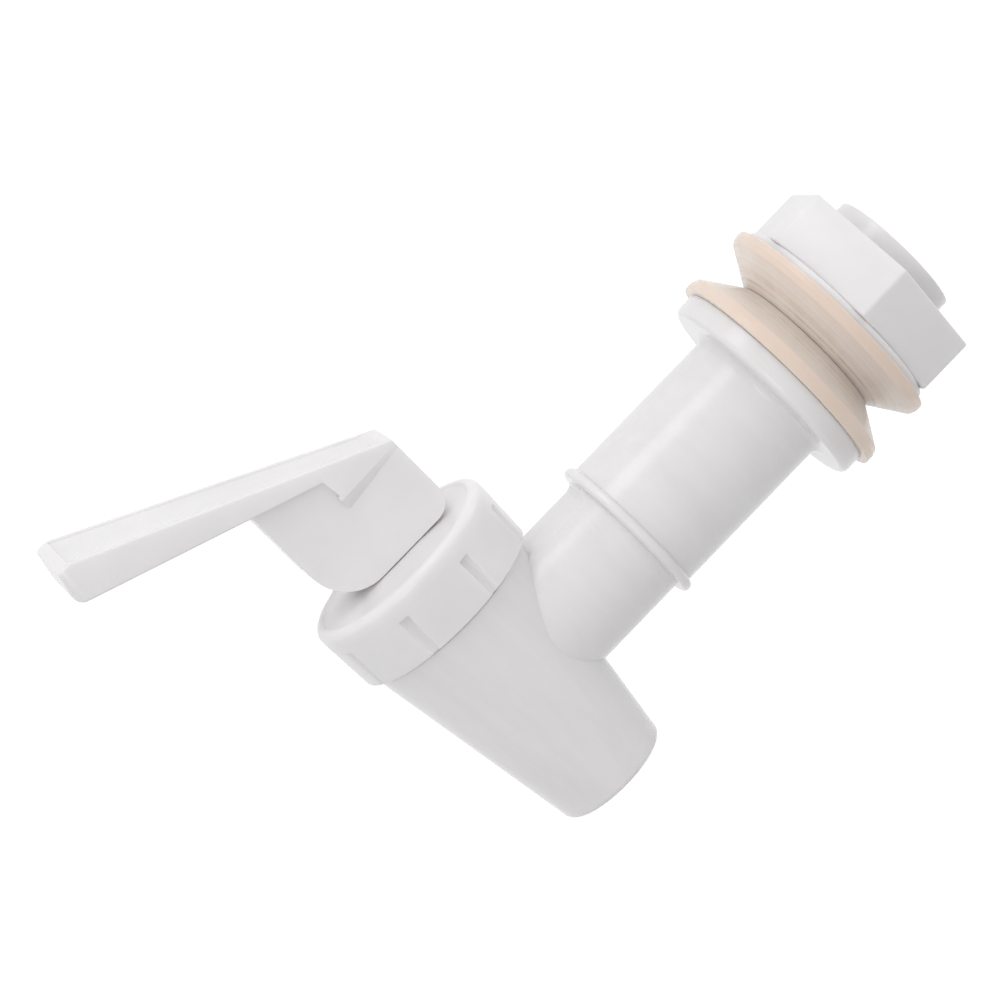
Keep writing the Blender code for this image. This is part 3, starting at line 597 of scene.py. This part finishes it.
def makePaddle():
    # each place is y, the distance from the tip and the share of the dish
    v = lever
    inside = 9.0  # far enough from the tip for every rounding to be past
    landY = v["tipY"] + v["lean"] + v["land"]
    places = [(v["tipY"] + t, t, 0.0) for t in v["tipCuts"]]
    places += [(landY - v["landStep"], inside, 0.0), (landY + v["landStep"], inside, 1.0)]
    fadeY = v["rearY"] - v["fade"]
    span = fadeY - landY
    between = [landY + span * i / v["longCuts"] for i in range(1, v["longCuts"] + 1)]
    places += [(y, inside, 1.0) for y in between if abs(y) > v["foldClear"]]
    places += [(0.0, inside, 1.0), (v["fold"], inside, 1.0)]
    fades = v["fadeCuts"]
    for i in range(1, fades + 1):
        depth = 0.5 + 0.5 * math.cos(math.pi * i / fades)
        places.append((fadeY + v["fade"] / (fades + 1) * i, inside, depth))
    places += [(v["rearY"], inside, 0.0)]
    places.sort(key=lambda place: place[0])
    loops = []
    for y, t, depth in places:
        loop = bothSides(paddleSection(y, t, depth))
        leanShare = max(0.0, 1 - t / v["leanLong"])
        low, high = min(p[2] for p in loop), max(p[2] for p in loop)
        loops.append([(x, yy + v["lean"] * leanShare * (z - low) / (high - low), z) for x, yy, z in loop])
    return lofted("paddle", loops)


def makeEars():
    # each ear hangs from the paddle's side, its lower face sloping in to the block
    e, rearY = ear, lever["rearY"]
    loops = []
    for y in (*e["cuts"], rearY - e["rearIn"]):
        nose = y == 0.0
        share = min(1, max(0, (y - e["start"]) / (rearY - e["start"])))
        low = e["frontZ"] + (e["rearZ"] - e["frontZ"]) * share + (e["noseUp"] if nose else 0)
        half = paddleHalf(y) - (e["noseIn"] if nose else 0)
        top = e["foldZ"] + e["sunk"]
        section = roundedPath([
            (0, low), (block["half"] + e["gap"], low, e["footRound"]), (half, e["foldZ"], e["foldRound"]),
            (half, top), (0, top)], arcCount=4)
        loops.append(bothSides([(x, y, z) for x, z in section]))
    return lofted("ears", loops)


def makeLever():
    v, b, e = lever, block, ear
    base = -b["base"]
    underSlope = (v["tipBottom"] - e["topZ"]) / -v["tipY"]
    under = e["topZ"] + underSlope * b["front"]
    r = b["webRound"]
    webY, webZ = -b["front"] - b["webLong"] * r, under + underSlope * b["webLong"] * r
    piece = plate("block", roundedPath([
        (webY, webZ + b["webSunk"]), (webY, webZ), (-b["front"], under, r), (-b["front"], base, b["camR"]),
        (v["rearY"], base, b["heelR"]), (v["rearY"], e["foldZ"], b["rearRound"]), (0, e["topZ"] + e["sunk"])],
        closed=True, arcStep=8), b["half"], bevel=b["bevel"])
    combine(piece, [makePaddle(), makeEars()], "UNION")
    # a slot for the stem's rod, wider towards the front so that the lever can tip, and a pocket with
    # its entry for the cross bar
    tilt = math.radians(b["slotTilt"])
    room, foot, deep = b["slotHalf"], b["cutFoot"], b["pocketHalf"]
    y, z = -room * math.cos(tilt), room * math.sin(tilt)
    reach = (z - foot) / math.cos(tilt)
    slot = plate("slot", [
        (room, b["slotTop"]), (-room, b["slotTop"]), (y, z), (y - reach * math.sin(tilt), foot),
        (room, foot)], room)
    pocket = turned("pocket", [(0, -deep), (b["pocketR"], -deep), (b["pocketR"], deep), (0, deep)], steps=48)
    pocket.data.transform(Matrix.Rotation(math.pi / 2, 4, "Y"))
    wide = b["entryHalf"]
    entry = plate("entry", [(-wide, 0), (-wide, foot), (wide, foot), (wide, 0)], deep)
    combine(piece, [slot, pocket, entry], "DIFFERENCE")
    piece.data.transform(Matrix.Translation((0, spoutY * mm, pinHeight * mm)))
    piece.name = "thumbLever"
    return finished(piece, "lever", leverPlastic, ["lever"])


makeLever()
print("stage: lever")

# the works: stem, spring and seat cup
stem = {
    "rodR": 2.2, "topRound": 2.0, "barR": 1.5, "barHalf": 4.0, "barRound": 0.25, "plateR": 4.4,
    "plateTop": -1.98, "plateFoot": -3.38, "plateRound": 0.25, "plateFillet": 0.3, "neckR": 2.0,
    "buttonTop": -4.3, "buttonR": 3.0, "buttonFoot": -5.4, "buttonEdge": 0.2, "buttonRound": 0.5,
}


def makeStem():
    v = stem
    top = pinHeight + v["rodR"]
    rod = turned("rod", roundedPath([
        (0, top), (v["rodR"], top, v["topRound"]), (v["rodR"], v["plateTop"], v["plateFillet"]),
        (v["plateR"], v["plateTop"], v["plateRound"]), (v["plateR"], v["plateFoot"], v["plateRound"]),
        (v["neckR"], v["plateFoot"]), (v["neckR"], v["buttonTop"]),
        (v["buttonR"], v["buttonTop"], v["buttonEdge"]), (v["buttonR"], v["buttonFoot"], v["buttonRound"]),
        (0, v["buttonFoot"])]), steps=96, at=(0, spoutY, 0))
    bar = turned("bar", roundedPath([
        (0, -v["barHalf"]), (v["barR"], -v["barHalf"], v["barRound"]),
        (v["barR"], v["barHalf"], v["barRound"]), (0, v["barHalf"])]), steps=64)
    crossing = Matrix.Translation((0, spoutY * mm, pinHeight * mm)) @ Matrix.Rotation(math.pi / 2, 4, "Y")
    bar.data.transform(crossing)
    combine(rod, [bar], "UNION")
    rod.name = "stemRod"
    return finished(rod, "stem", bodyPlastic, ["stem"])


# a closed end turn rises by this many wire radii; the spring's upper end rests at anchorZ
coil = {"wireR": 0.4, "meanR": 3.3, "low": -1.28, "high": 15.9, "turns": 8.5, "endTurns": 1.0, "endRise": 2.3,
        "perTurn": 40, "anchorZ": 16.3}


def screwTree():
    # an oval section swept along a screw line: the spring's coil and both threads are made by it
    tree = bpy.data.node_groups.new("screw line", "GeometryNodeTree")
    for label, kind in (("Points", "NodeSocketInt"), ("Turns", "NodeSocketFloat"),
                        ("Radius", "NodeSocketFloat"), ("Low", "NodeSocketFloat"),
                        ("Pitch", "NodeSocketFloat"), ("End Turns", "NodeSocketFloat"),
                        ("End Pitch", "NodeSocketFloat"), ("Section", "NodeSocketVector"),
                        ("Fade Turns", "NodeSocketFloat"), ("End Size", "NodeSocketFloat"),
                        ("Material", "NodeSocketMaterial")):
        tree.interface.new_socket(label, in_out="INPUT", socket_type=kind)
    tree.interface.new_socket("Geometry", in_out="OUTPUT", socket_type="NodeSocketGeometry")
    given = addNode(tree, "NodeGroupInput").outputs
    along = addNode(tree, "GeometryNodeSplineParameter").outputs["Factor"]
    turn = addNode(tree, "ShaderNodeMath", {"operation": "MULTIPLY"},
                   {0: along, 1: given["Turns"]}).outputs[0]
    left = addNode(tree, "ShaderNodeMath", {"operation": "SUBTRACT"},
                   {0: given["Turns"], 1: turn}).outputs[0]
    # the turns spent in the two closed ends, and the free ones between them
    opened = addNode(tree, "ShaderNodeMath", {"operation": "MINIMUM"},
                     {0: turn, 1: given["End Turns"]}).outputs[0]
    lastLeft = addNode(tree, "ShaderNodeMath", {"operation": "MINIMUM"},
                       {0: left, 1: given["End Turns"]}).outputs[0]
    closing = addNode(tree, "ShaderNodeMath", {"operation": "SUBTRACT"},
                      {0: given["End Turns"], 1: lastLeft}).outputs[0]
    ends = addNode(tree, "ShaderNodeMath", {"operation": "ADD"}, {0: opened, 1: closing}).outputs[0]
    free = addNode(tree, "ShaderNodeMath", {"operation": "SUBTRACT"}, {0: turn, 1: ends}).outputs[0]
    foot = addNode(tree, "ShaderNodeMath", {"operation": "MULTIPLY_ADD"},
                   {0: ends, 1: given["End Pitch"], 2: given["Low"]}).outputs[0]
    height = addNode(tree, "ShaderNodeMath", {"operation": "MULTIPLY_ADD"},
                     {0: free, 1: given["Pitch"], 2: foot}).outputs[0]
    angle = addNode(tree, "ShaderNodeMath", {"operation": "MULTIPLY", 1: 2 * math.pi}, {0: turn}).outputs[0]
    cosine = addNode(tree, "ShaderNodeMath", {"operation": "COSINE"}, {0: angle}).outputs[0]
    sine = addNode(tree, "ShaderNodeMath", {"operation": "SINE"}, {0: angle}).outputs[0]
    across = addNode(tree, "ShaderNodeMath", {"operation": "MULTIPLY"},
                     {0: cosine, 1: given["Radius"]}).outputs[0]
    deep = addNode(tree, "ShaderNodeMath", {"operation": "MULTIPLY"},
                   {0: sine, 1: given["Radius"]}).outputs[0]
    place = addNode(tree, "ShaderNodeCombineXYZ", None, {"X": across, "Y": deep, "Z": height}).outputs[0]
    nearEnd = addNode(tree, "ShaderNodeMath", {"operation": "MINIMUM"}, {0: turn, 1: left}).outputs[0]
    size = addNode(tree, "ShaderNodeMapRange", {"interpolation_type": "SMOOTHSTEP", "To Max": 1.0},
                   {"Value": nearEnd, "From Max": given["Fade Turns"],
                    "To Min": given["End Size"]}).outputs["Result"]
    line = addNode(tree, "GeometryNodeCurvePrimitiveLine")
    split = addNode(tree, "GeometryNodeResampleCurve", None,
                    {"Curve": line.outputs["Curve"], "Count": given["Points"]})
    wound = addNode(tree, "GeometryNodeSetPosition", None,
                    {"Geometry": split.outputs["Curve"], "Position": place})
    level = addNode(tree, "GeometryNodeSetCurveNormal", {"mode": "Z_UP"},
                    {"Curve": wound.outputs["Geometry"]})
    circle = addNode(tree, "GeometryNodeCurvePrimitiveCircle", {"Resolution": 14, "Radius": 1.0})
    section = addNode(tree, "GeometryNodeTransform", None,
                      {"Geometry": circle.outputs["Curve"], "Scale": given["Section"]})
    swept = addNode(tree, "GeometryNodeCurveToMesh", {"Fill Caps": True},
                    {"Curve": level.outputs["Curve"], "Profile Curve": section.outputs["Geometry"],
                     "Scale": size})
    real = addNode(tree, "GeometryNodeRealizeInstances", None, {"Geometry": swept.outputs["Mesh"]})
    painted = addNode(tree, "GeometryNodeSetMaterial", None,
                      {"Geometry": real.outputs["Geometry"], "Material": given["Material"]})
    addNode(tree, "NodeGroupOutput", None, {"Geometry": painted.outputs["Geometry"]})
    return tree


screwLine = screwTree()


def makeSpring():
    v = coil
    endPitch = v["endRise"] * v["wireR"]
    pitch = (v["high"] - v["low"] - 2 * v["endTurns"] * endPitch) / (v["turns"] - 2 * v["endTurns"])
    spring = byNodes("springCoil", screwLine, {
        "Points": int(v["turns"] * v["perTurn"]) + 1, "Turns": v["turns"], "Radius": v["meanR"] * mm,
        "Low": v["low"] * mm, "Pitch": pitch * mm, "End Turns": v["endTurns"], "End Pitch": endPitch * mm,
        "Section": (v["wireR"] * mm, v["wireR"] * mm, 1.0), "Fade Turns": 1.0, "End Size": 1.0,
        "Material": springWire})
    spring.data.transform(Matrix.Translation((0, spoutY * mm, 0)))
    spring = finished(spring, "swivel", springWire, ["return_spring"])
    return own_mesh(spring)


cup = {
    "flangeR": 11.1, "flangeTop": 15.4, "flangeFoot": 14.2, "flangeRound": 0.2, "sleeveR": 7.7,
    "sleeveFoot": 12.8, "sleeveRound": 1.0, "bellR": 5.6, "bellTop": 10.4, "bellRound": 1.5, "wall": 0.9,
    "footR": 6.6, "footTop": -3.7, "footRound": 0.3, "sole": -6.5, "soleRound": 0.4, "socketR": 2.3,
    "cavityR": 3.3, "cavityTop": -4.0, "cavityFoot": -5.7, "cavityRound": 0.4,
}


def makeCup():
    v = cup
    inner, sleeve = v["bellR"] - v["wall"], v["sleeveR"] - v["wall"]
    soft = turned("seatCup", roundedPath([
        (0, v["cavityFoot"]), (v["cavityR"], v["cavityFoot"], v["cavityRound"]),
        (v["cavityR"], v["cavityTop"]), (v["socketR"], v["cavityTop"]), (v["socketR"], v["footTop"]),
        (inner, v["footTop"]),
        (inner, v["bellTop"], v["bellRound"]), (sleeve, v["sleeveFoot"], v["sleeveRound"]),
        (sleeve, v["flangeTop"]), (v["flangeR"], v["flangeTop"], v["flangeRound"]),
        (v["flangeR"], v["flangeFoot"], v["flangeRound"]), (v["sleeveR"], v["flangeFoot"], v["footRound"]),
        (v["sleeveR"], v["sleeveFoot"], v["sleeveRound"]),
        (v["bellR"], v["bellTop"] - v["wall"], v["bellRound"]),
        (v["bellR"], v["footTop"] + v["wall"], v["footRound"]), (v["footR"], v["footTop"], v["footRound"]),
        (v["footR"], v["sole"], v["soleRound"]), (0, v["sole"])]), steps=96, at=(0, spoutY, 0))
    soft = finished(soft, "spigot", cupSilicone, ["seat_cup"])
    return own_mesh(soft)


makeStem()
makeSpring()
makeCup()
print("stage: works")

# the cone washers: a washer's seat is its flat side, and it faces the other way along Y
washer = {"rimR": 15.75, "waistR": 10.5, "holeR": 9.7, "round": 0.5, "seatRound": 0.12, "holeRound": 0.15,
          "waistRound": 0.2, "crownIn": 0.3, "sideShare": 0.55, "sideRound": 0.3}
frontWasher = {"seatY": 0.04, "facing": 1, "thick": 5.2, "rimWide": 1.9}
rearWasher = {"seatY": 10.05, "facing": -1, "thick": 4.75, "rimWide": 1.6}


def makeWasher(name, own, body, node):
    v = {**washer, **own}
    profile = roundedPath([
        (v["holeR"], v["thick"], v["holeRound"]), (v["waistR"], v["thick"], v["waistRound"]),
        (v["rimR"] - v["crownIn"], v["rimWide"], v["round"]),
        (v["rimR"], v["rimWide"] * v["sideShare"], v["sideRound"]), (v["rimR"], 0, v["seatRound"]),
        (v["holeR"], 0, v["holeRound"])], closed=True)
    profile = [(r, v["seatY"] + v["facing"] * h) for r, h in profile]
    ring = turned(name, profile, steps=192, axis="Y", closed=True)
    return finished(ring, body, washerSilicone, [node])


makeWasher("frontWasher", frontWasher, "spigot", "front_washer")
makeWasher("rearWasher", rearWasher, "washer_carriage", "rear_washer")

nut = {
    "cornerR": 15.53, "turn": 23.3, "edge": 0.35, "front": 10.07, "hexLong": 7.9, "collarR": 14.7,
    "collarLong": 1.0, "collarStep": 1.5, "collarIn": 3.0, "collarRound": 0.3, "collarEdge": 0.05,
    "holeR": 9.9, "cutPast": 1.0, "flare": 0.9, "flareDeep": 0.5, "flarePast": 0.2,
}


def makeNut():
    v = nut
    start = v["front"] + v["collarLong"]
    end = start + v["hexLong"]
    verts = []
    for y in (start, end):
        for corner in range(6):
            angle = math.radians(v["turn"] + 60 * corner)
            verts.append((v["cornerR"] * math.sin(angle), y, v["cornerR"] * math.cos(angle)))
    faces = [list(range(6)), list(range(6, 12))]
    faces += [[i, (i + 1) % 6, 6 + (i + 1) % 6, 6 + i] for i in range(6)]
    hexagon = roundEdges(meshObject("hexagon", verts, faces), v["edge"])
    stepR, deep = v["collarR"] - v["collarStep"], start + v["collarIn"]
    collar = turned("collar", roundedPath([
        (0, deep), (stepR, deep), (stepR, start), (v["collarR"], start, v["collarRound"]),
        (v["collarR"], v["front"], v["collarEdge"]), (0, v["front"])]), axis="Y")
    wide = v["holeR"] + v["flare"]
    hole = turned("hole", [
        (0, end + v["cutPast"]), (wide, end + v["cutPast"]), (wide, end + v["flarePast"]),
        (v["holeR"], end - v["flareDeep"]), (v["holeR"], v["front"] - v["cutPast"]),
        (0, v["front"] - v["cutPast"])], axis="Y")
    combine(hexagon, [collar], "UNION")
    combine(hexagon, [hole], "DIFFERENCE")
    hexagon.name = "hexNut"
    return finished(hexagon, "nut", nutPlastic, ["hex_nut"])


makeNut()

# right-handed, 2 mm a turn; the nut's ridge runs half a turn's rise behind the shank's
thread = {"pitch": 2.0, "wide": 0.5, "fade": 0.6, "endSize": 0.1, "perTurn": 48}
tailThread = {"low": 0.9, "turns": 9.0, "radius": 8.9, "high": 0.6}
nutThread = {"low": 11.9, "turns": 3.2, "radius": 9.95, "high": 0.5}


def makeThread(name, own, body, material):
    v = {**thread, **own}
    ridge = byNodes(name, screwLine, {
        "Points": int(v["turns"] * v["perTurn"]) + 1, "Turns": v["turns"], "Radius": v["radius"] * mm,
        "Low": v["low"] * mm, "Pitch": v["pitch"] * mm, "End Turns": 0.0, "End Pitch": 0.0,
        "Section": (v["high"] * mm, v["wide"] * mm, 1.0), "Fade Turns": v["fade"],
        "End Size": v["endSize"], "Material": material})
    ridge.data.transform(Matrix.Rotation(-math.pi / 2, 4, "X"))
    return finished(ridge, body, material, [], sharp=60)


makeThread("tailThread", tailThread, "spigot", bodyPlastic)
makeThread("nutThread", nutThread, "nut", nutPlastic)
print("stage: washers, nut and threads")

# the camera was fitted to the outlines of the round parts in the photo
photoView = {"place": (627.8, -75.8, 180.0), "aim": (0, -35.53, 14.36), "roll": -44.99, "lens": 187.65,
             "sensor": 36, "nearest": 0.01, "farthest": 20}


def makeCamera():
    v = photoView
    place, aim = Vector(v["place"]) * mm, Vector(v["aim"]) * mm
    lens = bpy.data.cameras.new("photoCamera")
    lens.sensor_width = v["sensor"]
    lens.lens = v["lens"]
    lens.clip_start, lens.clip_end = v["nearest"], v["farthest"]
    camera = bpy.data.objects.new("photoCamera", lens)
    bpy.context.scene.collection.objects.link(camera)
    forward = (aim - place).normalized()
    right = forward.cross(Vector((0, 0, 1))).normalized()
    level = Matrix((right, right.cross(forward), -forward)).transposed().to_4x4()
    turn = Matrix.Rotation(math.radians(v["roll"]), 4, "Z")
    camera.matrix_world = Matrix.Translation(place) @ level @ turn
    bpy.context.scene.camera = camera


# soft round lamps about the object: azimuth 0 is the camera's side and 90 the tank's side, in degrees
lamps = {
    "cameraSide": {"azimuth": -20, "elevation": 10, "power": 0.65, "size": 400},
    "tankSide": {"azimuth": 90, "elevation": 5, "power": 0.5, "size": 400},
    "overhead": {"azimuth": 30, "elevation": 68, "power": 0.5, "size": 300},
}
lampReach = 700
middle = Vector((0, -35, 14)) * mm


def makeLamps():
    for name, v in lamps.items():
        light = bpy.data.lights.new(name, "AREA")
        light.shape = "DISK"
        light.size = v["size"] * mm
        light.energy = v["power"]
        lamp = bpy.data.objects.new(name, light)
        turn, rise = math.radians(v["azimuth"]), math.radians(v["elevation"])
        toward = Vector((math.cos(turn) * math.cos(rise), math.sin(turn) * math.cos(rise), math.sin(rise)))
        lamp.location = middle + toward * lampReach * mm
        lamp.rotation_euler = toward.to_track_quat("Z", "Y").to_euler()
        lamp.visible_camera = False
        bpy.context.scene.collection.objects.link(lamp)


floor = {"height": -170.0, "half": 3000.0, "colour": "#BCBCBC", "lift": 0.65}
room = {"light": "#FFFFFF", "level": 0.905}


def seenRays(tree):
    # 1 for what the camera sees, straight or in a gloss or through the silicone, and 0 for plain lighting
    path = addNode(tree, "ShaderNodeLightPath")
    mirrored = addNode(tree, "ShaderNodeMath", {"operation": "MAXIMUM"},
                       {0: path.outputs["Is Glossy Ray"], 1: path.outputs["Is Transmission Ray"]})
    seen = addNode(tree, "ShaderNodeMath", {"operation": "MAXIMUM"},
                   {0: path.outputs["Is Camera Ray"], 1: mirrored.outputs[0]})
    return seen.outputs[0]


def makeFloor():
    # matt paper that glows where the camera sees it, so that it looks white and lights less
    half, height = floor["half"], floor["height"]
    corners = [(-half, -half, height), (half, -half, height), (half, half, height), (-half, half, height)]
    ground = meshObject("floor", corners, [[0, 1, 2, 3]])
    material = bpy.data.materials.new("matt paper floor")
    material.use_nodes = True
    tree = material.node_tree
    tree.nodes.clear()
    paint = addNode(tree, "ShaderNodeBsdfDiffuse", {"Color": linear(floor["colour"])})
    level = addNode(tree, "ShaderNodeMath", {"operation": "MULTIPLY", 1: floor["lift"]}, {0: seenRays(tree)})
    glow = addNode(tree, "ShaderNodeEmission", None, {"Strength": level.outputs[0]})
    both = addNode(tree, "ShaderNodeAddShader", None, {0: paint.outputs[0], 1: glow.outputs[0]})
    addNode(tree, "ShaderNodeOutputMaterial", None, {"Surface": both.outputs[0]})
    ground.data.materials.append(material)


def makeRoom():
    # an even white room that looks pure white and lights a little less
    world = bpy.data.worlds.new("studio")
    world.use_nodes = True
    bpy.context.scene.world = world
    tree = world.node_tree
    tree.nodes.clear()
    strength = addNode(tree, "ShaderNodeMapRange", {"To Min": room["level"], "To Max": 1.0},
                       {"Value": seenRays(tree)})
    back = addNode(tree, "ShaderNodeBackground", {"Color": linear(room["light"])},
                   {"Strength": strength.outputs["Result"]})
    addNode(tree, "ShaderNodeOutputWorld", None, {"Surface": back.outputs[0]})


makeCamera()
makeLamps()
makeFloor()
makeRoom()
bpy.context.scene.view_settings.view_transform = "Standard"
print("stage: camera and light")
